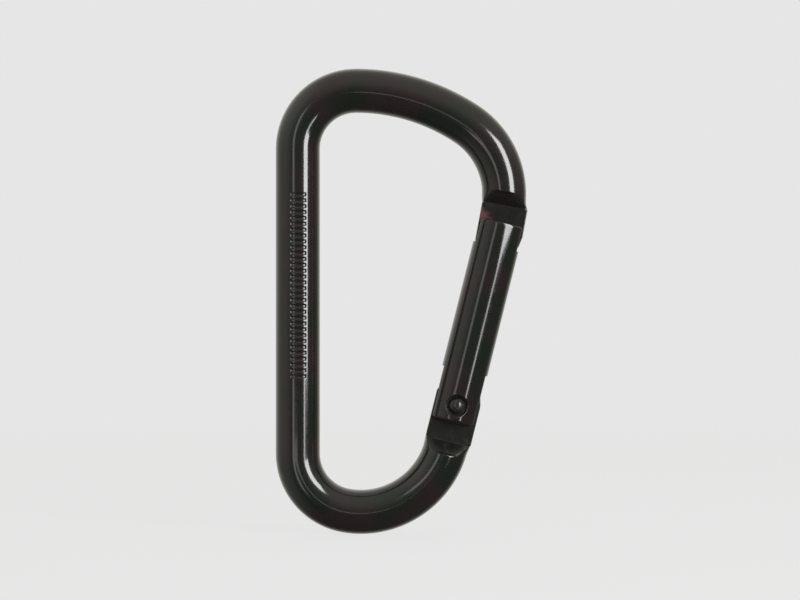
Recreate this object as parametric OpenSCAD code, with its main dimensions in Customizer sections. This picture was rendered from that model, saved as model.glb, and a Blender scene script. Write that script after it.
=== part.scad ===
// Spring-gate accessory carabiner, 80 mm long, bent from 7.6 mm aluminium rod.
// The D stands upright in the XZ plane: +Z up along the spine, +X towards the gate, and Y is the
// thickness. The origin is the centre of the D's own box. The frame is one rod, flattened to a
// tongue at its nose and at its hinge. The gate is a slotted rod that straddles both tongues. It
// turns on a rivet, and a spring and plunger inside it press on a cam cut on the hinge tongue.

/* [Frame] */
// Overall length of the D, top to bottom
body_l = 80; // [79.5:0.25:80.5]
// Diameter of the frame's rod
rod_d = 7.6; // [7:0.1:7.6]
// Distance of the spine's centreline from the middle
spine_x = 17.85; // [17.5:0.05:18]
// Distance of the nose's centreline from the middle
nose_x = 17.6; // [17.4:0.05:17.8]
// Centreline radius of the two bends beside the spine
spine_bend_r = 10; // [9:0.25:11]
// How far before the bottom the bend beside the spine stops and the wider bend begins, in degrees
base_turn = 9.8; // [9.6:0.1:10]
// Centreline radius of the bend below the hinge
hinge_bend_r = 15.1; // [15:0.05:15.2]

/* [Tongues] */
// Thickness of both tongues
tongue_t = 2.85; // [2.6:0.05:2.9]
// Lean of the nose tongue from upright, in degrees
nose_lean = 10.5; // [10:0.25:11]
// Height of the bend line where the nose turns into its tongue
nose_kink_z = 16.5; // [16.25:0.25:16.75]
// Length of the run-out where a tongue's flat slopes up to the round rod
runout_l = 2.2; // [2:0.1:2.3]

/* [Gate] */
// Diameter of the gate's rod
gate_d = 8; // [7.8:0.05:8.1]
// Lean of the closed gate from upright, in degrees
gate_lean = 14; // [13.75:0.25:14.25]
// Pivot to the gate's upper end
gate_up = 32.3; // [32:0.1:32.6]
// Pivot to the gate's lower end
gate_down = 2.85; // [2.6:0.05:3]
// Width of the slots at both ends
slot_w = 3.05; // [3:0.05:3.1]
// Pivot to the floor of the upper slot
nose_slot_floor = 28.1; // [28:0.05:28.15]
// Pivot to the floor of the lower slot
hinge_slot_floor = 5.97; // [5.9:0.01:6.1]
// Angle that the gate opens, in degrees
gate_travel = 50; // [40:1:51]

/* [Hinge and spring] */
// End of the bend below the hinge, along its tongue, to the pivot
pivot_rise = 7.17; // [7.15:0.01:7.2]
// Diameter of the rivet's shank
rivet_d = 2.1; // [2:0.05:2.3]
// Diameter of the rivet's domed heads
rivet_head_d = 2.95; // [2.8:0.05:3.1]
// Diameter of the recess around each rivet head
recess_d = 3.6; // [3.4:0.05:3.8]
// Diameter of the spring bore
bore_d = 2.6; // [2.5:0.05:2.7]
// How far the plunger is pushed back when the gate is fully open
plunger_lift = 1.2; // [1:0.05:1.3]
// Coils of the spring
coils = 12; // [10:1:14]
// Wire diameter of the spring
wire_d = 0.36; // [0.3:0.02:0.4]

/* [Hidden] */
facets = 96;
far = 20;
rod_r = rod_d / 2;
gate_r = gate_d / 2;
top_z = body_l / 2 - rod_r;

// From the centre of the arc over the top to that of the bend above the nose, as [x, z]. The two
// and the distance between them are 60, 91 and 109 times 0.185, which keeps the radii round numbers.
crown_run = [11.1, 16.835];
crown_turn = atan2(crown_run[1], crown_run[0]);

// Arc centres and joints of the rod's centreline, as [x, z]
crown_apex = [spine_bend_r - spine_x, top_z];
nose_bend_r = nose_x - crown_apex[0] - crown_run[0];
crown_r = nose_bend_r + norm(crown_run);
crown_c = crown_apex - [0, crown_r];
nose_c = crown_c + crown_run;
nose_kink = [nose_x, nose_kink_z];
runout_rise = 2.1;

// How far the bend below the hinge runs on into its tongue, in degrees
hinge_lead = 3.1;
base_run = (hinge_bend_r - spine_bend_r) * [sin(base_turn), cos(base_turn)];
hinge_c = [spine_bend_r - spine_x + base_run[0], hinge_bend_r - top_z];
base_c = hinge_c - base_run;
gate_up_dir = [sin(gate_lean), cos(gate_lean)];
gate_out_dir = [cos(gate_lean), -sin(gate_lean)];
hinge_bend_end = hinge_c + hinge_bend_r * gate_out_dir;
pivot = hinge_bend_end + pivot_rise * gate_up_dir;

// Nose tongue, as distances across and along it, from the bend line's middle
nose_in = 3.81;
nose_out = 4.08;
nose_tip = 6.75;
nose_step = 0.2;
nose_root = [3.3, 2];
tip_taper = [0.4, 1.9];

// Hinge tongue, as distances across and along the closed gate, from the pivot
tongue_in = 3.87;
tongue_out = 4.05;
tongue_low = 6.4;
tongue_root = [3.5, 8.4];
tongue_in_top = 1.7;
tongue_out_top = 0.7;
pin_gap = 0.05;

// Cam: its pitch curve is a linear spiral, so plunger lift is proportional to gate angle
cam_low_r = 3;
tip_r = 1;
cam_gap = 0.02;
pitch_low_r = cam_low_r + tip_r;
cam_steps = 26;
cam_from = -10;
cam_to = 54;

// Stop finger: its top bears on the lower slot's floor when the gate is closed
finger_from = 1.55;
finger_to = 2.75;
stop_gap = 0.03;

// Gate ends, rivet and plunger
end_chamfer = 0.35;
recess_floor = 3.1;
head_r = 1.6;
bore_end = 19;
shoulder_u = 8.4;
shoulder_t = 2.2;
plunger_body_r = bore_d / 2 - pin_gap;
stem_r = 0.55;
stem_end = 13.5;
spring_r = 1;
spring_gap = 0.04;
end_turns = 1;
wire_sides = 8;
steps_per_turn = 12;

// A straight length of rod between two centreline points
module rod(from, to) {
    run = to - from;
    translate([from[0], 0, from[1]])
        rotate([0, atan2(run[0], run[1]), 0])
            cylinder(r = rod_r, h = norm(run), $fn = facets);
}

// A bend of the rod about a centre, from one angle to another, counted from +X towards +Z
module bend(centre, radius, from, to) {
    translate([centre[0], 0, centre[1]])
        rotate([90, 0, 0])
            rotate_extrude(angle = to - from, start = from, $fn = facets)
                translate([radius, 0])
                    circle(r = rod_r, $fn = facets);
}

// A flat plate of an outline drawn as [across, along], centred on the rod's plane
module plate(thickness) {
    rotate([90, 0, 0])
        linear_extrude(height = thickness, center = true)
            children();
}

// The stock cut away on both sides of a tongue, up to a sloping run-out that starts at height 0
module flats(depth) {
    for (turn = [0, 180])
        rotate([0, 0, turn])
            rotate([90, 0, 90])
                linear_extrude(height = far, center = true)
                    polygon([
                        [tongue_t / 2, -depth],
                        [tongue_t / 2, 0],
                        [tongue_t / 2 + runout_rise, runout_l],
                        [far, runout_l],
                        [far, -depth]
                    ]);
}

// Places its children at the nose's bend line, along the nose tongue
module at_nose() {
    translate([nose_kink[0], 0, nose_kink[1]])
        rotate([0, nose_lean, 0])
            children();
}

// Places its children at the pivot, along the closed gate
module at_gate() {
    translate([pivot[0], 0, pivot[1]])
        rotate([0, gate_lean, 0])
            children();
}

// Radius of the pitch curve at an angle from the gate's axis, in degrees
function pitch_r(a) = pitch_low_r + plunger_lift * a / gate_travel;

// A point of the cam: the pitch curve moved in by the plunger's tip radius
function cam_point(a) =
    let (
        r = pitch_r(a),
        k = plunger_lift / gate_travel * 180 / PI,
        along = [-k * sin(a) - r * cos(a), k * cos(a) - r * sin(a)],
        outward = [along[1], -along[0]] / norm(along)
    )
    [-r * sin(a), r * cos(a)] - (tip_r + cam_gap) * outward;

cam = [for (i = [0 : cam_steps]) cam_point(cam_to + (cam_from - cam_to) * i / cam_steps)];

module nose_tongue() {
    plate(tongue_t)
        polygon([
            [-nose_in, -nose_step],
            [-nose_in, -nose_tip],
            [nose_out - tip_taper[0], -nose_tip],
            [nose_out, tip_taper[1] - nose_tip],
            [nose_out, nose_step],
            nose_root,
            [-nose_root[0], nose_root[1] / 2]
        ]);
}

module hinge_tongue() {
    finger_top = hinge_slot_floor - stop_gap;
    outline = concat(
        [-tongue_root, [-tongue_in, -tongue_low], [-tongue_in, tongue_in_top]],
        cam,
        [
            [finger_from, cam_low_r],
            [finger_from, finger_top],
            [finger_to, finger_top],
            [tongue_out, tongue_out_top],
            [tongue_out, -tongue_low],
            [tongue_root[0], -tongue_root[1]]
        ]
    );
    plate(tongue_t)
        polygon(outline);
}

module frame() {
    color([0.09, 0.09, 0.09])
        difference() {
            union() {
                difference() {
                    union() {
                        rod([-spine_x, base_c[1]], [-spine_x, crown_apex[1] - spine_bend_r]);
                        bend(crown_apex - [0, spine_bend_r], spine_bend_r, 90, 180);
                        bend(crown_c, crown_r, crown_turn, 90);
                        bend(nose_c, nose_bend_r, 0, crown_turn);
                        rod(nose_kink, nose_c + [nose_bend_r, 0]);
                        bend(base_c, spine_bend_r, 180, 270 - base_turn);
                        bend(hinge_c, hinge_bend_r, -90 - base_turn, hinge_lead - gate_lean);
                    }
                    at_nose()
                        flats(far);
                    at_gate()
                        translate([0, 0, -tongue_low])
                            rotate([180, 0, 0])
                                flats(far);
                }
                at_nose()
                    nose_tongue();
                at_gate()
                    hinge_tongue();
            }
            at_gate()
                rotate([90, 0, 0])
                    cylinder(d = rivet_d + 2 * pin_gap, h = far, center = true, $fn = facets);
        }
}

module gate_rod() {
    rotate_extrude($fn = facets)
        polygon([
            [0, -gate_down],
            [gate_r - end_chamfer, -gate_down],
            [gate_r, -gate_down + end_chamfer],
            [gate_r, gate_up - end_chamfer],
            [gate_r - end_chamfer, gate_up],
            [0, gate_up]
        ]);
}

module gate() {
    color([0.1, 0.1, 0.09])
        at_gate()
            difference() {
                gate_rod();
                translate([-far, -slot_w / 2, nose_slot_floor])
                    cube([2 * far, slot_w, far]);
                translate([-far, -slot_w / 2, hinge_slot_floor - far])
                    cube([2 * far, slot_w, far]);
                cylinder(d = bore_d, h = bore_end, $fn = facets);
                rotate([90, 0, 0])
                    cylinder(d = rivet_d, h = far, center = true, $fn = facets);
                for (side = [-1, 1])
                    rotate([90 * side, 0, 0])
                        translate([0, 0, recess_floor])
                            cylinder(d = recess_d, h = far, $fn = facets);
            }
}

module rivet_head() {
    intersection() {
        translate([0, 0, -sqrt(head_r * head_r - rivet_head_d * rivet_head_d / 4)])
            sphere(r = head_r, $fn = facets);
        cylinder(r = head_r, h = head_r, $fn = facets);
    }
}

module hinge_rivet() {
    color([0.16, 0.16, 0.15])
        at_gate() {
            rotate([90, 0, 0])
                cylinder(d = rivet_d, h = 2 * recess_floor, center = true, $fn = facets);
            for (side = [-1, 1])
                rotate([90 * side, 0, 0])
                    translate([0, 0, recess_floor])
                        rivet_head();
        }
}

// The plunger: a round tip on the cam, a guided body, and a stem inside the spring
module spring_plunger() {
    body_from = shoulder_u - shoulder_t;
    color("silver")
        at_gate()
            rotate_extrude($fn = facets) {
                intersection() {
                    translate([0, pitch_low_r])
                        circle(r = tip_r, $fn = facets);
                    translate([0, pitch_low_r - tip_r])
                        square(tip_r);
                }
                translate([0, pitch_low_r])
                    square([tip_r, body_from - pitch_low_r]);
                translate([0, body_from])
                    square([plunger_body_r, shoulder_t]);
                translate([0, shoulder_u])
                    square([stem_r, stem_end - shoulder_u]);
            }
}

// Height of the spring's wire at a turn: closed at both ends and evenly pitched between
spring_low = shoulder_u + spring_gap + wire_d / 2;
spring_high = bore_end - spring_gap - wire_d / 2;
end_rise = wire_d * 1.05;
spring_pitch = (spring_high - spring_low - 2 * end_turns * end_rise) / (coils - 2 * end_turns);
function spring_z(t) =
    t < end_turns ? spring_low + end_rise * t
    : t > coils - end_turns ? spring_high - end_rise * (coils - t)
    : spring_low + end_turns * end_rise + spring_pitch * (t - end_turns);

module gate_spring() {
    rings = coils * steps_per_turn;
    points = [
        for (i = [0 : rings], j = [0 : wire_sides - 1])
            let (
                t = i / steps_per_turn,
                r = spring_r + wire_d / 2 * cos(360 * j / wire_sides),
                z = spring_z(t) + wire_d / 2 * sin(360 * j / wire_sides)
            )
            [r * cos(360 * t), r * sin(360 * t), z]
    ];
    sides = [
        for (i = [0 : rings - 1], j = [0 : wire_sides - 1])
            let (k = (j + 1) % wire_sides)
            [
                i * wire_sides + j,
                (i + 1) * wire_sides + j,
                (i + 1) * wire_sides + k,
                i * wire_sides + k
            ]
    ];
    ends = [
        [for (j = [0 : wire_sides - 1]) j],
        [for (j = [0 : wire_sides - 1]) rings * wire_sides + wire_sides - 1 - j]
    ];
    color("gray")
        at_gate()
            polyhedron(points = points, faces = concat(sides, ends));
}

frame();
gate();
hinge_rivet();
gate_spring();
spring_plunger();
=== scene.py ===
"""Looks of a spring-gate accessory carabiner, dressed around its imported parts.

The D stands upright in the XZ plane: its spine is at -X, its gate at +X, and Y is the thickness.
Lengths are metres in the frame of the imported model, written as a number of millimetres times MM.
"""

import logging
import math
from dataclasses import dataclass, field
from enum import Enum
from typing import Sequence

import bmesh
import bpy
import numpy as np
from mathutils import Matrix, Vector


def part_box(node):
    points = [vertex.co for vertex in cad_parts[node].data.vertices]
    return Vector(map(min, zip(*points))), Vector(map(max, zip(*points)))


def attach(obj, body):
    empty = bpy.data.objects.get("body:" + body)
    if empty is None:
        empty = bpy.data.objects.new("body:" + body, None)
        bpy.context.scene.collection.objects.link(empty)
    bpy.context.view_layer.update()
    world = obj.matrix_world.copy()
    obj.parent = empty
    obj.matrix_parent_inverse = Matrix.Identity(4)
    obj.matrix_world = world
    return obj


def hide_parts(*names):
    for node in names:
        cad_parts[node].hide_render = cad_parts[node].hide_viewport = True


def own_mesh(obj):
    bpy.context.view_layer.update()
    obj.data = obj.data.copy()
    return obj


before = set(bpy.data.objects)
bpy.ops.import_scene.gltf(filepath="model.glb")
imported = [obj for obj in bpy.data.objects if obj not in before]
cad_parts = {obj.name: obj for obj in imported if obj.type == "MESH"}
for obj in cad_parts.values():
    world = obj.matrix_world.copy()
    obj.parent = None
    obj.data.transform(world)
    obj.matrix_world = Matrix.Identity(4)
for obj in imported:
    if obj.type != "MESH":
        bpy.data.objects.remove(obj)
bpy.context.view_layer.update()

MM = 0.001
FAR = 1.0  # metres, so far out that it bounds nothing
log = logging.getLogger("carabiner")


class Body(Enum):
    """The bodies that the pieces ride on."""

    FRAME = "frame"
    GATE = "gate"
    PLUNGER = "plunger"


class Slot(Enum):
    """The record's material slots."""

    BLACK_FRAME = "black_frame"
    BLACK_GATE = "black_gate"
    DARK_RIVET = "dark_rivet"
    SPRING_WIRE = "spring_wire"
    PLUNGER_STEEL = "plunger_steel"


# ---------------------------------------------------------------------------------------------
# Shader maths
# ---------------------------------------------------------------------------------------------


class Signal:
    """A value that leaves a node's socket, so that shader maths reads as a Python expression."""

    def __init__(self, shop: "PaintShop", socket: bpy.types.NodeSocket) -> None:
        """Wraps one output socket.

        Args:
            shop: The node tree that the socket belongs to.
            socket: The output socket.
        """
        self.shop = shop
        self.socket = socket

    def _math(self, operation: str, *values: "Signal | float") -> "Signal":
        """Adds one Math node.

        Args:
            operation: The Math node's operation.
            *values: Its inputs, in order.

        Returns:
            The node's result.
        """
        return self.shop.node("Math", {"operation": operation}, dict(enumerate(values)))

    def __add__(self, other: "Signal | float") -> "Signal":
        """Returns self + other."""
        return self._math("ADD", self, other)

    def __radd__(self, other: float) -> "Signal":
        """Returns other + self."""
        return self._math("ADD", other, self)

    def __sub__(self, other: "Signal | float") -> "Signal":
        """Returns self - other."""
        return self._math("SUBTRACT", self, other)

    def __rsub__(self, other: float) -> "Signal":
        """Returns other - self."""
        return self._math("SUBTRACT", other, self)

    def __mul__(self, other: "Signal | float") -> "Signal":
        """Returns self * other."""
        return self._math("MULTIPLY", self, other)

    def __rmul__(self, other: float) -> "Signal":
        """Returns other * self."""
        return self._math("MULTIPLY", other, self)

    def band(self, low: float, high: float) -> "Signal":
        """A smooth step.

        Args:
            low: The value that gives 0.
            high: The value that gives 1.

        Returns:
            0 below low, 1 above high, and a smooth rise between them.
        """
        settings = {"interpolation_type": "SMOOTHSTEP"}
        return self.shop.node("MapRange", settings, {0: self, 1: low, 2: high, 3: 0.0, 4: 1.0})


Colour = tuple[float, float, float]
Feed = Signal | float | Sequence[float]


class PaintShop:
    """One material's or world's node tree, and the few ways in which nodes are added to it."""

    def __init__(self, tree: bpy.types.NodeTree) -> None:
        """Clears the tree.

        Args:
            tree: The node tree to fill.
        """
        self.tree = tree
        tree.nodes.clear()

    def node(
        self,
        kind: str,
        settings: dict[str, object] | None = None,
        inputs: dict[int | str, Feed] | None = None,
        output: int | str = 0,
    ) -> Signal | None:
        """Adds one node.

        Args:
            kind: The node's type, without its ShaderNode prefix.
            settings: Properties of the node, such as its operation, set first.
            inputs: Numbers, colours or signals for its sockets, by index or name.
            output: The socket that is returned, by index or name.

        Returns:
            The chosen output, or None from a node that has none.
        """
        made = self.tree.nodes.new("ShaderNode" + kind)
        for name, value in (settings or {}).items():
            setattr(made, name, value)
        for name, value in (inputs or {}).items():
            if isinstance(value, Signal):
                self.tree.links.new(value.socket, made.inputs[name])
            else:
                made.inputs[name].default_value = value
        return Signal(self, made.outputs[output]) if made.outputs else None

    def surface(self, inputs: dict[int | str, Feed]) -> None:
        """Sends a Principled surface to the material's output.

        Args:
            inputs: Numbers, colours or signals for its sockets, by name.
        """
        shader = self.node("BsdfPrincipled", {}, inputs)
        self.node("OutputMaterial", {}, {"Surface": shader})

    def place(self) -> Signal:
        """Returns the place on the piece, in metres, which moves with it."""
        return self.node("TexCoord", output="Object")

    def noise(self, size: float, detail: float) -> Signal:
        """Cloudy noise that stays put on the piece.

        Args:
            size: Width of one cloud, in metres.
            detail: How many finer layers it has.

        Returns:
            A value around a half.
        """
        inputs = {"Vector": self.place(), "Scale": 1 / size, "Detail": detail}
        return self.node("TexNoise", {}, inputs, "Fac")

    def painted(self, name: str) -> Signal:
        """Returns a mask that the mesh carries under that name."""
        return self.node("Attribute", {"attribute_name": name}, output="Fac")

    def blend(self, share: Feed, first: Feed, second: Feed) -> Signal:
        """Mixes two colours.

        Args:
            share: How much of the second, from 0 to 1.
            first: The colour at 0.
            second: The colour at 1.

        Returns:
            The mixed colour.
        """
        return self.node("Mix", {"data_type": "RGBA"}, {0: share, 6: first, 7: second}, 2)

    def bump(self, height: Signal, depth: float, under: Signal | None = None) -> Signal:
        """Relief in the surface.

        Args:
            height: The relief, from 0 to 1.
            depth: Its real depth, in metres.
            under: The relief beneath it, if any.

        Returns:
            The normal.
        """
        inputs: dict[int | str, Feed] = {"Height": height, "Distance": depth, "Strength": 1.0}
        if under is not None:
            inputs["Normal"] = under
        return self.node("Bump", {}, inputs)


# ---------------------------------------------------------------------------------------------
# Finishes
# ---------------------------------------------------------------------------------------------


def new_paint(name: str) -> tuple[bpy.types.Material, PaintShop]:
    """Starts a material.

    Args:
        name: The material's name.

    Returns:
        The material and its empty node tree.
    """
    material = bpy.data.materials.new(name)
    material.use_nodes = True
    return material, PaintShop(material.node_tree)


@dataclass(frozen=True)
class Coating:
    """Gloss black coating, with the film's own colour drift, orange peel and handling marks."""

    name: str
    colour: Colour = (0.0080, 0.0108, 0.0076)
    warm_colour: Colour = (0.0150, 0.0100, 0.0102)
    worn_colour: Colour = (0.050, 0.047, 0.042)
    flat_colour: Colour = (0.0072, 0.0072, 0.0058)
    tinted_colour: Colour = (0.115, 0.040, 0.050)
    gloss: float = 0.15
    flat_gloss: float = 0.34
    coat: float = 0.55
    coat_gloss: float = 0.05
    specular: float = 0.35
    peel_size: float = 1.1 * MM
    peel_depth: float = 0.0007 * MM
    pit_size: float = 0.28 * MM
    pit_depth: float = 0.010 * MM
    drift_size: float = 7 * MM
    scuff_size: float = 1.3 * MM
    speck_size: float = 0.16 * MM
    edge_wear: float = 0.2
    speck_wear: float = 0.12
    flat_wear: float = 0.16
    rub_roughness: float = 0.05
    wear_roughness: float = 0.12
    flat_bare: float = 0.8
    wear_bare: float = 0.3

    def build(self) -> bpy.types.Material:
        """Returns the coating as a material."""
        material, shop = new_paint(self.name)
        flat = shop.painted("flat")
        edge = shop.painted("edge")
        tint = shop.painted("tint")
        drift = shop.noise(self.drift_size, 1.0).band(0.35, 0.65)
        scuff = shop.noise(self.scuff_size, 5.0)
        speck = shop.noise(self.speck_size, 2.0).band(0.70, 0.78)
        film = shop.blend(drift, (*self.colour, 1), (*self.warm_colour, 1))
        film = shop.blend(flat, film, (*self.flat_colour, 1))
        film = shop.blend(tint, film, (*self.tinted_colour, 1))
        edge_wear = edge * scuff.band(0.50, 0.66) * self.edge_wear
        flat_wear = flat * scuff.band(0.54, 0.70) * self.flat_wear
        wear = edge_wear + speck * self.speck_wear + flat_wear
        film = shop.blend(wear, film, (*self.worn_colour, 1))
        rub = scuff.band(0.35, 0.75)
        roughness = self.gloss + self.rub_roughness * rub + (self.flat_gloss - self.gloss) * flat
        bare = (1 - self.flat_bare * flat) * (1 - self.wear_bare * wear)
        peel = shop.bump(shop.noise(self.peel_size, 1.5), self.peel_depth)
        pits = shop.bump(shop.noise(self.pit_size, 4.0) * flat, self.pit_depth, peel)
        shop.surface(
            {
                "Base Color": film,
                "Roughness": roughness + self.wear_roughness * wear,
                "Specular IOR Level": self.specular,
                "Coat Weight": self.coat * bare,
                "Coat Roughness": self.coat_gloss,
                "Normal": pits,
            }
        )
        return material


@dataclass(frozen=True)
class Steel:
    """Bare or blackened steel, with tool marks that run round or along the gate's axis."""

    name: str
    colour: Colour
    stain: Colour
    roughness: float
    metallic: float
    mark_size: float
    mark_depth: float
    along: tuple[float, float, float]
    stain_size: float = 0.9 * MM
    stain_roughness: float = 0.16
    line_roughness: float = 0.06

    def build(self) -> bpy.types.Material:
        """Returns the steel as a material."""
        material, shop = new_paint(self.name)
        station = shop.node(
            "VectorMath", {"operation": "DOT_PRODUCT"}, {0: shop.place(), 1: self.along}, "Value"
        )
        lines = shop.node(
            "TexNoise", {"noise_dimensions": "1D"}, {"W": station * (1 / self.mark_size)}, "Fac"
        )
        cloud = shop.noise(self.stain_size, 4.0)
        stain = cloud.band(0.42, 0.68)
        tone = shop.blend(stain, (*self.colour, 1), (*self.stain, 1))
        relief = shop.bump(lines * 0.6 + cloud * 0.4, self.mark_depth)
        roughness = self.roughness + self.stain_roughness * stain + self.line_roughness * lines
        shop.surface(
            {
                "Base Color": tone,
                "Metallic": self.metallic,
                "Roughness": roughness,
                "Normal": relief,
            }
        )
        return material


# ---------------------------------------------------------------------------------------------
# Mesh making
# ---------------------------------------------------------------------------------------------


def add_piece(name: str, points: np.ndarray, faces: Sequence[Sequence[int]]) -> bpy.types.Object:
    """Makes a smooth-shaded mesh object whose normals point outwards.

    Args:
        name: The piece's name.
        points: One row of three coordinates for each vertex, in metres.
        faces: Vertex numbers of each face.

    Returns:
        The new object.
    """
    mesh = bpy.data.meshes.new(name)
    mesh.from_pydata(points.tolist(), [], [list(face) for face in faces])
    work = bmesh.new()
    work.from_mesh(mesh)
    bmesh.ops.recalc_face_normals(work, faces=work.faces)
    work.to_mesh(mesh)
    work.free()
    mesh.shade_smooth()
    piece = bpy.data.objects.new(name, mesh)
    bpy.context.scene.collection.objects.link(piece)
    return piece


def ring_faces(rings: int, around: int, closed_ends: bool = True) -> list[tuple[int, ...]]:
    """Faces of a tube of rings.

    Args:
        rings: How many rings it has.
        around: How many vertices each ring has.
        closed_ends: True if one more vertex at each end closes the tube.

    Returns:
        The faces; the two end vertices come after those of the rings.
    """
    faces = []
    for i in range(rings - 1):
        for k in range(around):
            n = (k + 1) % around
            a, b = i * around, (i + 1) * around
            faces.append((a + k, a + n, b + n, b + k))
    if closed_ends:
        first, last = rings * around, rings * around + 1
        end = (rings - 1) * around
        for k in range(around):
            n = (k + 1) % around
            faces.append((first, n, k))
            faces.append((last, end + k, end + n))
    return faces


def lathe(
    name: str, profile: Sequence[tuple[float, float]], place: Matrix, around: int
) -> bpy.types.Object:
    """Turns a profile round its axis.

    Args:
        name: The piece's name.
        profile: Radius and height pairs; the first and last are on the axis.
        place: Where the axis goes; heights run along its Z.
        around: How many vertices each ring has.

    Returns:
        The turned piece.
    """
    turns = [2 * math.pi * k / around for k in range(around)]
    points = [
        place @ Vector((r * math.cos(t), r * math.sin(t), h))
        for r, h in profile[1:-1]
        for t in turns
    ]
    points += [place @ Vector((0, 0, profile[0][1])), place @ Vector((0, 0, profile[-1][1]))]
    rows = np.array([tuple(p) for p in points])
    return add_piece(name, rows, ring_faces(len(profile) - 2, around))


def paint_mask(piece: bpy.types.Object, name: str, values: np.ndarray) -> None:
    """Stores a mask on a piece's vertices.

    Args:
        piece: The piece.
        name: The name that its material reads.
        values: One number for each vertex, from 0 to 1.
    """
    attribute = piece.data.attributes.new(name, "FLOAT", "POINT")
    attribute.data.foreach_set("value", values.astype(np.float32))


def places(piece: bpy.types.Object) -> np.ndarray:
    """Returns the piece's vertices, one row each."""
    found = np.zeros(len(piece.data.vertices) * 3)
    piece.data.vertices.foreach_get("co", found)
    return found.reshape(-1, 3)


def apply_modifiers(piece: bpy.types.Object) -> None:
    """Turns a piece's modifiers into its own mesh.

    Args:
        piece: The piece.
    """
    graph = bpy.context.evaluated_depsgraph_get()
    mesh = bpy.data.meshes.new_from_object(piece.evaluated_get(graph))
    piece.modifiers.clear()
    piece.data = mesh


def hand_over(
    piece: bpy.types.Object, body: Body, node: str, material: bpy.types.Material
) -> None:
    """Dresses a finished piece and puts it in its CAD node's place.

    Args:
        piece: The finished piece.
        body: The body that it rides on.
        node: The CAD node that it stands for.
        material: Its material.
    """
    piece.data.materials.clear()
    piece.data.materials.append(material)
    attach(piece, body.value)
    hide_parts(node)
    log.info("%s: %d faces on %s", piece.name, len(piece.data.polygons), body.value)


def smooth_step(values: np.ndarray, low: float, high: float) -> np.ndarray:
    """A smooth rise.

    Args:
        values: Where to read it.
        low: The value that gives 0.
        high: The value that gives 1; it may be below low.

    Returns:
        Numbers from 0 to 1.
    """
    share = np.clip((values - low) / (high - low), 0, 1)
    return share * share * (3 - 2 * share)


def smooth_max(first: np.ndarray, second: np.ndarray, radius: float) -> np.ndarray:
    """The larger of two distances, rounded where they meet.

    Args:
        first: One distance.
        second: The other.
        radius: About the radius of the rounding, in metres.

    Returns:
        The rounded distance.
    """
    near = np.maximum(radius - np.abs(first - second), 0) / radius
    return np.maximum(first, second) + near * near * radius / 4


# ---------------------------------------------------------------------------------------------
# The parts' own geometry
# ---------------------------------------------------------------------------------------------


def on_arc(centre: Vector, radius: float, angle: float) -> Vector:
    """A point on an arc in the XZ plane.

    Args:
        centre: The arc's centre.
        radius: Its radius.
        angle: The angle from +X towards +Z, in radians.

    Returns:
        The point.
    """
    return centre + radius * Vector((math.cos(angle), math.sin(angle)))


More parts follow.
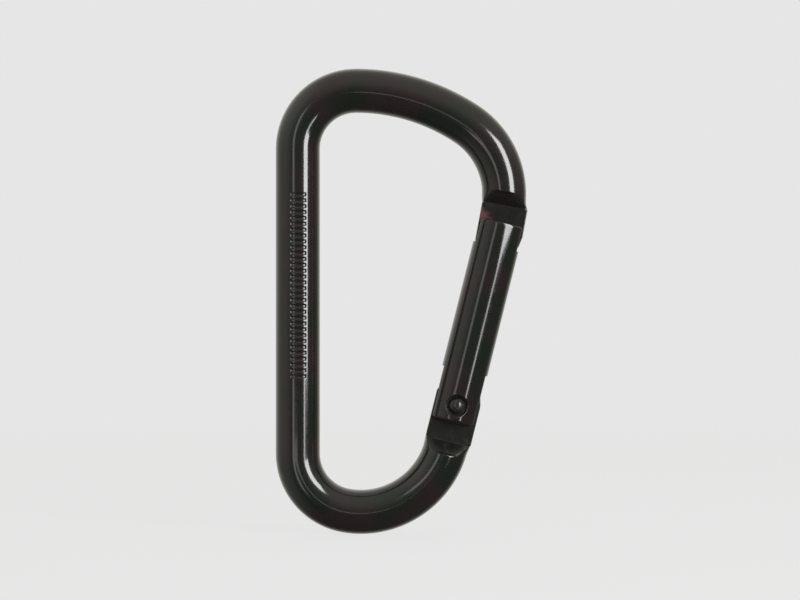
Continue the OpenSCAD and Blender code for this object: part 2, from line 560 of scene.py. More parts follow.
@dataclass
class Layout:
    """The D's driving sizes and the places that follow from them."""

    rod_r: float = 3.8 * MM
    tongue_t: float = 2.85 * MM
    runout_l: float = 2.2 * MM
    runout_rise: float = 2.1 * MM
    spine_bend_r: float = 10 * MM
    nose_bend_r: float = 14.35 * MM
    base_turn: float = math.radians(9.8)
    hinge_bend_r: float = 15.1 * MM
    crown_drop: float = 16.835 * MM
    nose_x: float = 17.6 * MM
    nose_kink_z: float = 16.5 * MM
    nose_lean: float = math.radians(10.5)
    gate_lean: float = math.radians(14)
    pivot_rise: float = 7.17 * MM
    spine_x: float = field(init=False)
    top_z: float = field(init=False)
    crown_r: float = field(init=False)
    crown_c: Vector = field(init=False)
    nose_c: Vector = field(init=False)
    hinge_c: Vector = field(init=False)
    base_c: Vector = field(init=False)
    pivot: Vector = field(init=False)

    def __post_init__(self) -> None:
        """Works out the places from the frame's box and the driving sizes."""
        low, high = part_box("frame")
        self.spine_x = low.x + self.rod_r
        self.top_z = high.z - self.rod_r
        bend_x = self.spine_x + self.spine_bend_r
        run = self.nose_x - self.nose_bend_r - bend_x
        self.crown_r = self.nose_bend_r + math.hypot(run, self.crown_drop)
        self.crown_c = Vector((bend_x, self.top_z - self.crown_r))
        self.nose_c = self.crown_c + Vector((run, self.crown_drop))
        base_run = (self.hinge_bend_r - self.spine_bend_r) * Vector(
            (math.sin(self.base_turn), math.cos(self.base_turn))
        )
        self.hinge_c = Vector((bend_x + base_run.x, low.z + self.rod_r + self.hinge_bend_r))
        self.base_c = self.hinge_c - base_run
        self.pivot = (
            self.hinge_c + self.hinge_bend_r * self.gate_out + self.pivot_rise * self.gate_up
        )

    @property
    def gate_up(self) -> Vector:
        """Returns the direction up the closed gate, in the XZ plane."""
        return Vector((math.sin(self.gate_lean), math.cos(self.gate_lean)))

    @property
    def gate_out(self) -> Vector:
        """Returns the direction across the closed gate, away from the D's inside."""
        return Vector((math.cos(self.gate_lean), -math.sin(self.gate_lean)))

    @property
    def rivet_place(self) -> Matrix:
        """Returns where the rivet's axis goes: at the pivot, with heights through the D."""
        centre = (self.pivot.x, 0.0, self.pivot.y)
        return Matrix.Translation(centre) @ Matrix.Rotation(math.pi / 2, 4, "X")

    @property
    def gate_axis(self) -> tuple[float, float, float]:
        """Returns the direction up the closed gate, in space."""
        return (self.gate_up.x, 0.0, self.gate_up.y)

    def from_gate(self, points: np.ndarray) -> np.ndarray:
        """Moves points from the gate's own axes to the frame's.

        Args:
            points: Rows of distances across, through and up the closed gate, from the pivot.

        Returns:
            The same points in the row frame.
        """
        out, up = self.gate_out, self.gate_up
        x = self.pivot.x + points[:, 0] * out.x + points[:, 2] * up.x
        z = self.pivot.y + points[:, 0] * out.y + points[:, 2] * up.y
        return np.column_stack([x, points[:, 1], z])

    def to_gate(self, points: np.ndarray) -> np.ndarray:
        """Moves points from the frame's axes to the gate's own.

        Args:
            points: Rows of three coordinates in the row frame.

        Returns:
            Rows of distances across, through and up the closed gate, from the pivot.
        """
        out, up = self.gate_out, self.gate_up
        dx, dz = points[:, 0] - self.pivot.x, points[:, 2] - self.pivot.y
        return np.column_stack([dx * out.x + dz * out.y, points[:, 1], dx * up.x + dz * up.y])


@dataclass
class Station:
    """One cross-section of the frame's rod.

    Attributes:
        centre: Its centre, in the XZ plane.
        turn: The angle of its outward side, from +X towards +Z.
        tilt: How far it leans away from square to the rod.
        half_y: Half the thickness that its flats leave.
        inner: Distance from its centre to its inner side, where it is squared.
        outer: Distance from its centre to its outer side, where it is squared.
        grow_in: How much wider than the round rod it is inwards.
        grow_out: How much wider than the round rod it is outwards.
        squared: 0 on the round rod, 1 on a tongue.
        flat: How much its flats are forged rather than drawn.
        tint: How far out from the inner side its tinted corner reaches.
    """

    centre: Vector
    turn: float
    tilt: float = 0.0
    half_y: float = FAR
    inner: float = FAR
    outer: float = FAR
    grow_in: float = 1.0
    grow_out: float = 1.0
    squared: float = 0.0
    flat: float = 0.0
    tint: float = 0.0


@dataclass
class TickRow:
    """A plain row of pressed ticks on the front of the spine."""

    low_z: float = -13.3 * MM
    high_z: float = 18.7 * MM
    pitch: float = 1.0 * MM
    width: float = 0.46 * MM
    length: float = 2.5 * MM
    shift: float = 0.25 * MM
    depth: float = 0.15 * MM
    edge: float = 0.09 * MM

    def depth_at(self, across: np.ndarray, y: np.ndarray, z: float) -> np.ndarray:
        """How deep the ticks are round the spine at one height.

        Args:
            across: Distance to the right of the spine's middle.
            y: Distance from the D's plane, negative at the front.
            z: Height.

        Returns:
            The depth at each place.
        """
        if not self.low_z < z < self.high_z:
            return np.zeros_like(across)
        phase = np.abs((z - self.low_z) % self.pitch - self.pitch / 2)
        row = smooth_step(phase, self.width / 2 + self.edge, self.width / 2 - self.edge / 2)
        half = self.length / 2
        off = np.abs(across - self.shift)
        return self.depth * row * smooth_step(off, half + self.edge, half - self.edge / 2) * (y < 0)


@dataclass
class FrameRod:
    """The bent rod, with the two tongues forged and cut at its ends."""

    layout: Layout
    around: int = 200
    sharpness: float = 14.0
    bend_step: float = 0.7 * MM
    nose_step: float = 0.5 * MM
    spine_step: float = 1.2 * MM
    tick_step: float = 0.1 * MM
    tick_margin: float = 0.2 * MM
    nose_in: float = 3.81 * MM
    nose_out: float = 4.08 * MM
    nose_tip: float = 6.75 * MM
    nose_taper: float = 1.9 * MM
    nose_taper_in: float = 0.4 * MM
    tongue_in: float = 3.87 * MM
    tongue_out: float = 4.05 * MM
    tongue_low: float = 6.4 * MM
    cam_top: float = 2.93 * MM
    finger_from: float = 1.55 * MM
    finger_to: float = 2.75 * MM
    finger_top: float = 5.94 * MM
    runout_foot: float = 0.06 * MM
    runout_lip: float = 0.5 * MM
    runout_top: float = 2.32 * MM
    runout_reach: float = 1.4
    runout_margin: float = 0.4 * MM
    square_l: float = 0.5 * MM
    skin_ease: float = 0.35
    nose_bulge: float = 0.9 * MM
    hinge_bulge: float = 1.5 * MM
    nose_fade: float = math.radians(26)
    hinge_fade: float = math.radians(24)
    nose_flat: float = 0.4
    tint_from: float = 0.9 * MM
    tint_to: float = 3.1 * MM
    rivet_hole_d: float = 2.2 * MM
    ticks: TickRow = field(default_factory=TickRow)

    def build(self, material: bpy.types.Material) -> bpy.types.Object:
        """Makes and dresses the frame.

        Args:
            material: Its coating.

        Returns:
            The frame.
        """
        layout = self.layout
        base_end = 1.5 * math.pi - layout.base_turn
        stations = [
            *self._nose_tongue(),
            *self._nose_runout(),
            *self._nose_bend(),
            *self._arc(layout.crown_c, layout.crown_r, self._crown_end(), math.pi / 2),
            *self._arc(self._spine_bend_c(), layout.spine_bend_r, math.pi / 2, math.pi),
            *self._spine(),
            *self._arc(layout.base_c, layout.spine_bend_r, math.pi, base_end),
            *self._hinge_bend(),
            *self._hinge_runout(),
            *self._hinge_tongue(),
        ]
        piece = self._sweep(stations)
        self._drill(piece)
        hand_over(piece, Body.FRAME, "frame", material)
        return piece

    def _crown_end(self) -> float:
        """Returns the angle at which the bend above the nose meets the arc over the top."""
        run = self.layout.nose_c - self.layout.crown_c
        return math.atan2(run.y, run.x)

    def _spine_bend_c(self) -> Vector:
        """Returns the centre of the spine's upper bend."""
        layout = self.layout
        return Vector((layout.spine_x + layout.spine_bend_r, layout.top_z - layout.spine_bend_r))

    def _runout(self, rise: float) -> float:
        """Half the thickness that a tongue's cutter leaves.

        Args:
            rise: Distance up the run-out from where the flat ends.

        Returns:
            Half the thickness, or FAR past the run-out.
        """
        layout = self.layout
        slope = layout.runout_rise / layout.runout_l
        reach = layout.tongue_t / 2
        if rise <= -self.runout_foot:
            return reach
        if rise <= self.runout_foot:
            return reach + slope * (rise + self.runout_foot) ** 2 / (4 * self.runout_foot)
        lip_from = self.runout_top - self.runout_lip
        if rise <= lip_from:
            return reach + slope * rise
        share = (rise - lip_from) / self.runout_lip
        start = reach + slope * rise
        past = self.runout_reach * layout.rod_r
        return start + (past - start) * share**3 if share <= 1 else FAR

    def _runout_rises(self) -> list[float]:
        """Returns the distances up a run-out at which it has cross-sections."""
        foot, lip, top = self.runout_foot, self.runout_lip, self.runout_top
        low = [foot * k / 4 for k in range(1, 5)]
        slope = np.linspace(foot, top - lip, 16).tolist()[1:]
        edge = [top - lip * (1 - k / 10) for k in range(1, 11)]
        return [*low, *slope, *edge, *(top + d * MM for d in (0.05, 0.15))]

    def _nose_tongue(self) -> list[Station]:
        """Returns the cross-sections of the nose tongue, from its tip to the bend line."""
        layout, lean = self.layout, self.layout.nose_lean
        kink = Vector((layout.nose_x, layout.nose_kink_z))
        along = Vector((math.sin(lean), math.cos(lean)))
        downs = (6.75, 6.74, 6.70, 6.62, 6.5, 6.2, 5.7, 5.2, 4.85, 4.5, 3.8, 3.0, 2.2, 1.4, 0.8)
        stations = []
        for down in downs:
            at = -down * MM
            tip = (self.nose_tip + at) / self.nose_taper
            outer = self.nose_out - self.nose_taper_in * max(0.0, 1 - tip)
            round_off = self._edge_round(self.nose_tip + at)
            stations.append(
                Station(
                    kink + at * along,
                    -lean,
                    half_y=layout.tongue_t / 2 - round_off,
                    inner=self.nose_in - round_off,
                    outer=outer - round_off,
                    squared=1.0,
                    flat=self.nose_flat,
                    tint=max(0.0, -at - self.tint_from) if -at < self.tint_to else 0.0,
                )
            )
        for squared in (1.0, 0.8, 0.6, 0.4, 0.2, 0.0):
            at = -squared * self.square_l
            stations.append(
                Station(
                    kink + at * along,
                    -lean,
                    tilt=lean,
                    half_y=self._runout(at),
                    inner=self.nose_in,
                    outer=self.nose_out,
                    grow_in=self.nose_in * math.cos(lean) / layout.rod_r,
                    grow_out=self.nose_out * math.cos(lean) / layout.rod_r,
                    squared=squared,
                    flat=self.nose_flat,
                )
            )
        return stations

    @staticmethod
    def _edge_round(inset: float, radius: float = 0.12 * MM) -> float:
        """How far a rounded end pulls in.

        Args:
            inset: Distance from the end's face.
            radius: Radius of the rounding.

        Returns:
            The pull.
        """
        if inset >= radius:
            return 0.0
        return radius - math.sqrt(radius**2 - (radius - inset) ** 2)

    def _nose_runout(self) -> list[Station]:
        """Returns the cross-sections where the nose tongue's flats rise to the round rod."""
        layout, lean = self.layout, self.layout.nose_lean
        stations = []
        for rise in self._runout_rises():
            centre, angle = self._nose_point(rise)
            bulge = max(0.0, 1 - rise / self.nose_bulge)
            stations.append(
                Station(
                    centre,
                    -lean,
                    tilt=lean + angle,
                    half_y=self._runout(rise),
                    grow_out=1 + (self.nose_out * math.cos(lean) / layout.rod_r - 1) * bulge,
                    flat=self.nose_flat if self._runout(rise) < layout.rod_r else 0.0,
                )
            )
        return stations

    def _nose_point(self, rise: float) -> tuple[Vector, float]:
        """A centreline point above the nose's bend line.

        Args:
            rise: Distance up the run-out from the bend line.

        Returns:
            The point and its angle round the bend above the nose.
        """
        layout = self.layout
        height = layout.nose_kink_z + rise / math.cos(layout.nose_lean)
        angle = math.asin(max(0.0, height - layout.nose_c.y) / layout.nose_bend_r)
        if angle <= 0:
            return Vector((layout.nose_x, height)), 0.0
        return on_arc(layout.nose_c, layout.nose_bend_r, angle), angle

    def _nose_bend(self) -> list[Station]:
        """Returns the cross-sections of the bend above the nose, which lean at its start."""
        layout = self.layout
        _, start = self._nose_point(self._runout_rises()[-1])
        end = self._crown_end()
        count = round(layout.nose_bend_r * (end - start) / self.nose_step)
        tilts = (layout.nose_lean + start, 0.0)
        return self._bend(
            layout.nose_c, layout.nose_bend_r, start, end, count, tilts, self.nose_fade
        )

    def _arc(self, centre: Vector, radius: float, start: float, end: float) -> list[Station]:
        """Plain round cross-sections along a bend.

        Args:
            centre: The bend's centre, in the XZ plane.
            radius: Its centreline radius.
            start: The angle it starts at, in radians from +X towards +Z.
            end: The angle it ends at.

        Returns:
            The cross-sections after the first.
        """
        count = round(radius * (end - start) / self.bend_step)
        return self._bend(centre, radius, start, end, count)

    @staticmethod
    def _bend(
        centre: Vector,
        radius: float,
        start: float,
        end: float,
        count: int,
        tilts: tuple[float, float] = (0.0, 0.0),
        fade: float = 1.0,
    ) -> list[Station]:
        """Round cross-sections along a bend, which may lean near its ends.

        Args:
            centre: The bend's centre, in the XZ plane.
            radius: Its centreline radius.
            start: The angle it starts at, in radians from +X towards +Z.
            end: The angle it ends at.
            count: How many cross-sections it has.
            tilts: How far they lean at its start and at its end.
            fade: The angle over which they straighten.

        Returns:
            The cross-sections after the first.
        """
        stations = []
        for angle in (start + (end - start) * i / count for i in range(1, count + 1)):
            shares = smooth_step(np.array([angle - start, end - angle]), fade, 0.0)
            tilt = float(shares[0] * tilts[0] + shares[1] * tilts[1])
            stations.append(Station(on_arc(centre, radius, angle), angle - tilt, tilt=tilt))
        return stations

    def _spine(self) -> list[Station]:
        """Returns the cross-sections down the spine, close together where it has ticks."""
        layout, ticks = self.layout, self.ticks
        end = layout.top_z - layout.spine_bend_r
        top, bottom = ticks.high_z + self.tick_margin, ticks.low_z - self.tick_margin
        above = round((end - top) / self.spine_step)
        ticked = round((top - bottom) / self.tick_step)
        below = round((bottom + end) / self.spine_step)
        heights = [
            *np.linspace(end, top, above, endpoint=False)[1:],
            *np.linspace(top, bottom, ticked, endpoint=False),
            *np.linspace(bottom, layout.base_c.y, below + 1),
        ]
        return [Station(Vector((layout.spine_x, float(z))), math.pi) for z in heights]

    def _hinge_arc_point(self, back: float) -> tuple[Vector, float]:
        """A centreline point of the bend below the hinge.

        Args:
            back: Distance back from the bend's end, along the closed gate.

        Returns:
            The point and its angle back from the bend's end.
        """
        layout = self.layout
        beta = math.asin(back / layout.hinge_bend_r)
        return on_arc(layout.hinge_c, layout.hinge_bend_r, -layout.gate_lean - beta), beta

    def _hinge_bend(self) -> list[Station]:
        """Returns the cross-sections of the bend below the hinge, which lean at its end."""
        layout = self.layout
        last = self.tongue_low - layout.pivot_rise + self.runout_top + self.runout_margin
        _, tilt = self._hinge_arc_point(last)
        start, end = -math.pi / 2 - layout.base_turn, -layout.gate_lean - tilt
        count = round(layout.hinge_bend_r * (end - start) / self.bend_step)
        tilts = (0.0, -tilt)
        return self._bend(
            layout.hinge_c, layout.hinge_bend_r, start, end, count, tilts, self.hinge_fade
        )

    def _hinge_runout(self) -> list[Station]:
        """Returns the cross-sections where the round rod falls to the hinge tongue's flats."""
        layout = self.layout
        stations = []
        for rise in reversed(self._runout_rises()):
            centre, beta = self._hinge_arc_point(rise + self.tongue_low - layout.pivot_rise)
            bulge = max(0.0, 1 - rise / self.hinge_bulge)
            stations.append(
                Station(
                    centre,
                    -layout.gate_lean,
                    tilt=beta,
                    half_y=self._runout(rise),
                    grow_in=1 + (self.tongue_in / layout.rod_r - 1) * bulge,
                    grow_out=1 + (self.tongue_out / layout.rod_r - 1) * bulge,
                    flat=1.0 if self._runout(rise) < layout.rod_r else 0.0,
                )
            )
        return stations

    def _hinge_tongue(self) -> list[Station]:
        """Returns the cross-sections of the hinge tongue, up to the end of its stop finger."""
        layout = self.layout
        low = -self.tongue_low / MM
        root = [low + 0.1 * k for k in range(6)]
        neck = [*np.linspace(-5.6, 1.6, 19).tolist(), 1.7, 1.9, 2.1, 2.33, 2.5, 2.7, 2.85]
        shelf = [2.90, 2.93, 2.94, 2.98, 3.05, 3.2]
        finger = [3.6, 4.1, 4.6, 5.1, 5.5, 5.75, 5.82, 5.88, 5.92, 5.94]
        heights = [*root, *neck, *shelf, *finger]
        tongue_in, tongue_out = -self.tongue_in / MM, self.tongue_out / MM
        finger_in, finger_out = self.finger_from / MM, self.finger_to / MM
        # Heights, and where each edge is there: the neck, the cam, its shelf and the finger.
        inner_edge = [
            (low, tongue_in), (1.7, tongue_in), (2.33, -3.64), (2.90, -2.75),
            (self.cam_top / MM, -2.4), (2.94, 1.40), (2.98, finger_in), (6.0, finger_in),
        ]
        outer_edge = [(low, tongue_out), (0.7, tongue_out), (self.finger_top / MM, finger_out)]
        stations = []
        for height in heights:
            left = float(np.interp(height, *zip(*inner_edge))) * MM
            right = float(np.interp(height, *zip(*outer_edge))) * MM
            round_off = self._edge_round(self.finger_top - height * MM)
            centre = self.layout.pivot + height * MM * layout.gate_up
            middle = (left + right) / 2 * float(smooth_step(np.array(height), -2.0, 1.7))
            stations.append(
                Station(
                    centre + middle * layout.gate_out,
                    -layout.gate_lean,
                    half_y=self._runout((low - height) * MM) - round_off,
                    inner=middle - left - round_off,
                    outer=right - middle - round_off,
                    grow_in=self.tongue_in / layout.rod_r,
                    grow_out=self.tongue_out / layout.rod_r,
                    squared=min(1.0, (height - low) * MM / self.square_l),
                    flat=1.0,
                )
            )
        return stations

    def _angles(self) -> np.ndarray:
        """Returns the angles round the rod, closer at the tongues' edges and under the ticks."""
        fine = np.radians(np.arange(0, 360, 0.25))
        weight = np.ones_like(fine)
        corners = [(corner, 3, 8) for corner in (20, 160, 200, 340)]
        for middle, reach, extra in [*corners, (270, 28, 2.2)]:
            off = np.abs((np.degrees(fine) - middle + 180) % 360 - 180)
            weight += extra * smooth_step(off, reach + 5.0, reach)
        total = np.concatenate([[0], np.cumsum(weight)])
        wanted = np.arange(self.around) / self.around * total[-1]
        return np.interp(wanted, total, np.append(fine, 2 * math.pi))

    def _limits(self, station: Station, angles: np.ndarray) -> tuple[np.ndarray, ...]:
        """What bounds a cross-section: its round skin, its flats and its sides.

        Args:
            station: The cross-section.
            angles: Angles from its outward side towards the back.

        Returns:
            One over the distance to each bound, at each angle.
        """
        rod_r = self.layout.rod_r
        out, deep = np.cos(angles), np.sin(angles)
        grow = np.where(out > 0, station.grow_out, station.grow_in)
        across = rod_r / math.cos(station.tilt) * grow
        loose = 1 - self.skin_ease * station.squared if station.squared < 1 else 0.0
        skin = np.hypot(out / across, deep / rod_r) * loose
        flats = np.abs(deep) / station.half_y
        sides = np.where(out > 0, out / station.outer, -out / station.inner)
        return skin, flats, sides * (station.squared > 0)

    def _radii(self, station: Station, angles: np.ndarray) -> np.ndarray:
        """A cross-section's distance from its centre.

        Args:
            station: The cross-section.
            angles: Angles from its outward side towards the back.

        Returns:
            The distance at each angle.
        """
        sharp = self.sharpness * (1 + 2 * station.squared)
        return sum(bound**sharp for bound in self._limits(station, angles)) ** (-1 / sharp)

    def _sweep(self, stations: list[Station]) -> bpy.types.Object:
        """Joins the cross-sections into one closed mesh.

        Args:
            stations: The cross-sections, from the nose to the hinge.

        Returns:
            The rod.
        """
        angles = self._angles()
        rings, masks = zip(*(self._ring(station, angles) for station in stations))
        first, last = stations[0].centre, stations[-1].centre
        points = np.vstack([*rings, (first.x, 0.0, first.y), (last.x, 0.0, last.y)])
        piece = add_piece("frame_rod", points, ring_faces(len(rings), self.around))
        for name in masks[0]:
            row = np.concatenate([mask[name] for mask in masks])
            paint_mask(piece, name, np.append(row, [0.0, 0.0]))
        return piece

    def _ring(
        self, station: Station, angles: np.ndarray
    ) -> tuple[np.ndarray, dict[str, np.ndarray]]:
        """One cross-section's vertices and what is painted on them.

        Args:
            station: The cross-section.
            angles: Angles from its outward side towards the back.

        Returns:
            One row for each vertex, and each mask by name.
        """
        radii = self._radii(station, angles)
        across, y = radii * np.cos(angles), radii * np.sin(angles)
        forged = smooth_step(np.abs(y), station.half_y * 0.90, station.half_y * 0.97)
        corner = smooth_step(across + self.nose_in - station.tint, 0.5 * MM, -0.6 * MM)
        masks = {
            "flat": station.flat * forged,
            "tint": (station.tint > 0) * (y < 0) * corner,
            "edge": self._edge_mask(station, angles),
        }
        if abs(station.turn - math.pi) < 1e-6:
            shrink = 1 - self.ticks.depth_at(-across, y, station.centre.y) / radii
            across, y = across * shrink, y * shrink
        x = station.centre.x + across * math.cos(station.turn)
        z = station.centre.y + across * math.sin(station.turn)
        return np.column_stack([x, y, z]), masks

    def _edge_mask(self, station: Station, angles: np.ndarray) -> np.ndarray:
        """Marks where a cross-section turns a corner.

        Args:
            station: The cross-section.
            angles: Angles from its outward side towards the back.

        Returns:
            1 at corners and 0 elsewhere.
        """
        bounds = np.sort(np.vstack(self._limits(station, angles)), axis=0)
        return smooth_step(bounds[-2] / bounds[-1], 0.90, 0.99)

    def _drill(self, piece: bpy.types.Object) -> None:
        """Drills the rivet's hole through the hinge tongue.

        Args:
            piece: The frame's rod.
        """
        radius, half = self.rivet_hole_d / 2, self.layout.tongue_t
        profile = [(0.0, -half), (radius, -half), (radius, half), (0.0, half)]
        drill = lathe("drill", profile, self.layout.rivet_place, 96)
        cut = piece.modifiers.new("rivet_hole", "BOOLEAN")
        cut.operation, cut.solver, cut.object = "DIFFERENCE", "EXACT", drill
        apply_modifiers(piece)
        bpy.data.objects.remove(drill)


@dataclass
class GateRod:
    """The slotted gate rod, with its spring bore, rivet hole and rivet recesses."""

    layout: Layout
    radius: float = 4.0 * MM
    up: float = 32.3 * MM
    down: float = 2.85 * MM
    slot_w: float = 3.05 * MM
    nose_floor: float = 28.1 * MM
    hinge_floor: float = 5.97 * MM
    bore_r: float = 1.3 * MM
    bore_end: float = 19 * MM
    hole_r: float = 1.05 * MM
    recess_r: float = 1.8 * MM
    recess_floor: float = 3.1 * MM
    end_round: float = 0.5 * MM
    edge_round: float = 0.22 * MM
    dress_depth: float = 0.07 * MM
    dress_length: float = 2.2 * MM
    dress_turn: float = math.radians(17)
    voxel: float = 0.12 * MM
    settling_rounds: int = 4

    def build(self, material: bpy.types.Material) -> bpy.types.Object:
        """Makes and dresses the gate.

        Args:
            material: Its coating.

        Returns:
            The gate.
        """
        piece = bpy.data.objects.new("gate_rod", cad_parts["gate"].data.copy())
        bpy.context.scene.collection.objects.link(piece)
        remesh = piece.modifiers.new("even_skin", "REMESH")
        remesh.mode, remesh.voxel_size = "VOXEL", self.voxel
        apply_modifiers(piece)
        points = self.layout.to_gate(places(piece))
        for _ in range(self.settling_rounds):
            points = points - self._distance(points)[:, None] * self._slope(points)
        normals = self._slope(points)
        placed = self.layout.from_gate(points)
        piece.data.vertices.foreach_set("co", placed.ravel())
        piece.data.shade_smooth()
        turned = self.layout.from_gate(points + normals) - placed
        piece.data.normals_split_custom_set_from_vertices(turned.tolist())
        paint_mask(piece, "flat", self._flat(points))
        paint_mask(piece, "tint", np.zeros(len(points)))
        paint_mask(piece, "edge", self._edges(points))
        hand_over(piece, Body.GATE, "gate", material)
        return piece

    def _distance(self, points: np.ndarray) -> np.ndarray:
        """Distance from the gate's skin, negative inside.

        Args:
            points: Rows of distances across, through and up the gate.

        Returns:
            One distance for each row.
        """
        across, through, up = points.T
        middle = (self.up - self.down) / 2
        skin = np.hypot(across, through) - self.radius
        ends = np.abs(up - middle) - (self.up + self.down) / 2
        solid = smooth_max(skin, ends, self.end_round)
        solid = smooth_max(solid, self._dressing(across, through, up), self.edge_round)
        half = self.slot_w / 2 - np.abs(through)
        cuts = (
            np.minimum(half, up - self.nose_floor),
            np.minimum(half, self.hinge_floor - up),
            np.minimum(self.bore_r - np.hypot(across, through), self.bore_end - up),
            self.hole_r - np.hypot(across, up),
            np.minimum(self.recess_r - np.hypot(across, up), np.abs(through) - self.recess_floor),
        )
        for cut in cuts:
            solid = smooth_max(solid, cut, self.edge_round)
        return solid

    def _dressing(self, across: np.ndarray, through: np.ndarray, up: np.ndarray) -> np.ndarray:
        """Distance from the shallow dressed facet at the nose end of each ear.

        Args:
            across: Distance across the gate.
            through: Distance through it.
            up: Distance up it.

        Returns:
            The distance, negative under the facet.
        """
        lean = self.dress_depth / self.dress_length
        out = across * math.sin(self.dress_turn) + np.abs(through) * math.cos(self.dress_turn)
        return out + (up - self.up) * lean - (self.radius - self.dress_depth)

    def _slope(self, points: np.ndarray) -> np.ndarray:
        """The direction in which the distance from the skin grows.

        Args:
            points: Rows of distances across, through and up the gate.

        Returns:
            One unit vector for each row.
        """
        step = 0.004 * MM
        slope = np.zeros_like(points)
        for axis in range(3):
            shift = np.zeros(3)
            shift[axis] = step
            slope[:, axis] = self._distance(points + shift) - self._distance(points - shift)
        size = np.linalg.norm(slope, axis=1, keepdims=True)
        return slope / np.maximum(size, 1e-12)

    def _edges(self, points: np.ndarray) -> np.ndarray:
        """Returns how near each vertex is to a worn outer edge of the gate."""
        across, through, up = points.T
        skin = smooth_step(np.hypot(across, through), self.radius - 0.5 * MM, self.radius)
        ends = np.minimum(self.up - up, self.down + up)
        near_end = smooth_step(ends, 0.7 * MM, 0.1 * MM)
        in_slot = (up > self.nose_floor) | (up < self.hinge_floor)
        lip = smooth_step(np.abs(np.abs(through) - self.slot_w / 2), 0.4 * MM, 0.05 * MM) * in_slot
        rim = smooth_step(np.abs(np.hypot(across, up) - self.recess_r), 0.3 * MM, 0.05 * MM)
        return skin * np.maximum.reduce([near_end, lip, rim])

    def _flat(self, points: np.ndarray) -> np.ndarray:
        """Returns where the gate is machined rather than drawn: its slots, bore and recesses."""
        across, through, _ = points.T
        reach = np.hypot(across, through)
        return smooth_step(reach, self.radius - 0.1 * MM, self.radius - 0.4 * MM)


@dataclass
class HingeRivet:
    """The rivet through the gate's ears, with a domed head in each recess."""

    layout: Layout
    shank_r: float = 1.05 * MM
    head_r: float = 1.475 * MM
    dome_r: float = 1.6 * MM
    seat: float = 3.1 * MM
    edge: float = 0.02 * MM
    dome_steps: int = 24
    around: int = 96

    def build(self, material: bpy.types.Material) -> bpy.types.Object:
        """Makes and dresses the rivet.

        Args:
            material: Its steel.

        Returns:
            The rivet.
        """
        base = math.sqrt(self.dome_r**2 - self.head_r**2)
        rim = math.asin(base / self.dome_r)
        dome = []
        for i in range(self.dome_steps + 1):
            angle = rim + (math.pi / 2 - rim) * i / self.dome_steps
            height = self.seat - base + self.dome_r * math.sin(angle)
            dome.append((self.dome_r * math.cos(angle), height))
        lip = [
            (self.shank_r, self.seat - 1.5 * self.edge),
            (self.shank_r + self.edge, self.seat),
            (self.head_r - 4 * self.edge, self.seat),
            (self.head_r - self.edge, self.seat + self.edge / 2),
        ]
        half = [(self.shank_r, 0.4 * MM * k) for k in range(1, 7)] + lip + dome
        mirrored = [(r, -h) for r, h in reversed(half)]
        profile = [*mirrored, (self.shank_r, 0.0), *half]
        piece = lathe("rivet", profile, self.layout.rivet_place, self.around)
        hand_over(piece, Body.GATE, "hinge_rivet", material)
        return piece


@dataclass
class SpringPlunger:
    """The stepped pin that the spring holds against the cam."""

    layout: Layout
    tip_r: float = 1.0 * MM
    tip_centre: float = 4.0 * MM
    body_from: float = 6.2 * MM
    shoulder: float = 8.4 * MM
    body_r: float = 1.25 * MM
    stem_r: float = 0.55 * MM
    stem_end: float = 13.5 * MM
    groove_down: float = 0.8 * MM
    groove: float = 0.06 * MM
    chamfer: float = 0.1 * MM
    tip_steps: int = 16

    def build(self, material: bpy.types.Material) -> bpy.types.Object:
        """Makes and dresses the plunger.

        Args:
            material: Its steel.

        Returns:
            The plunger.
        """
        tip = []
        for i in range(self.tip_steps + 1):
            angle = math.pi / 2 * i / self.tip_steps
            height = self.tip_centre - self.tip_r * math.cos(angle)
            tip.append((self.tip_r * math.sin(angle), height))
        cut, groove_at = self.chamfer, self.shoulder - self.groove_down
        profile = [
            *tip,
            (self.tip_r, self.body_from - cut),
            (self.tip_r, self.body_from),
            (self.body_r - cut, self.body_from),
            (self.body_r, self.body_from + cut),
            (self.body_r, groove_at - cut),
            (self.body_r - self.groove, groove_at),
            (self.body_r, groove_at + cut),
            (self.body_r, self.shoulder - cut),
            (self.body_r - cut, self.shoulder),
            (self.stem_r + cut, self.shoulder),
            (self.stem_r, self.shoulder + cut),
            (self.stem_r, self.stem_end - 2 * cut),
            (self.stem_r - 2 * cut, self.stem_end),
            (0.0, self.stem_end),
        ]
        layout = self.layout
        centre = Vector((layout.pivot.x, 0.0, layout.pivot.y))
        turn = Matrix.Rotation(layout.gate_lean, 4, "Y")
        piece = lathe("plunger", profile, Matrix.Translation(centre) @ turn, 64)
        hand_over(piece, Body.PLUNGER, "spring_plunger", material)
        return piece


